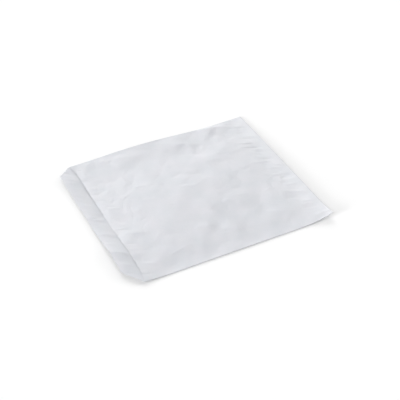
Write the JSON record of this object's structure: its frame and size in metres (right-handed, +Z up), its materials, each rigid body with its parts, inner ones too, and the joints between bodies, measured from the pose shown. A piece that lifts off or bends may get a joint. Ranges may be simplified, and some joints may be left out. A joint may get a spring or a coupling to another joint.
{
  "type": "paper chip bag",
  "caption": "Flat white paper bag for takeaway chips, with a toothed stepped mouth, a back seam and a turned-under glued bottom.",
  "frame": {"origin": "on the table under the middle of the bag's box", "axes": "+X across the bag, +Y along it from the mouth to the bottom fold, +Z up from the table, out of the front sheet"},
  "size_m": [0.2, 0.23, 0.0086],
  "materials": {
    "paper": "matte bleached paper with a slight machine glaze"
  },
  "bodies": {
    "root": {"paper_bag": "paper"}
  },
  "joints": []
}
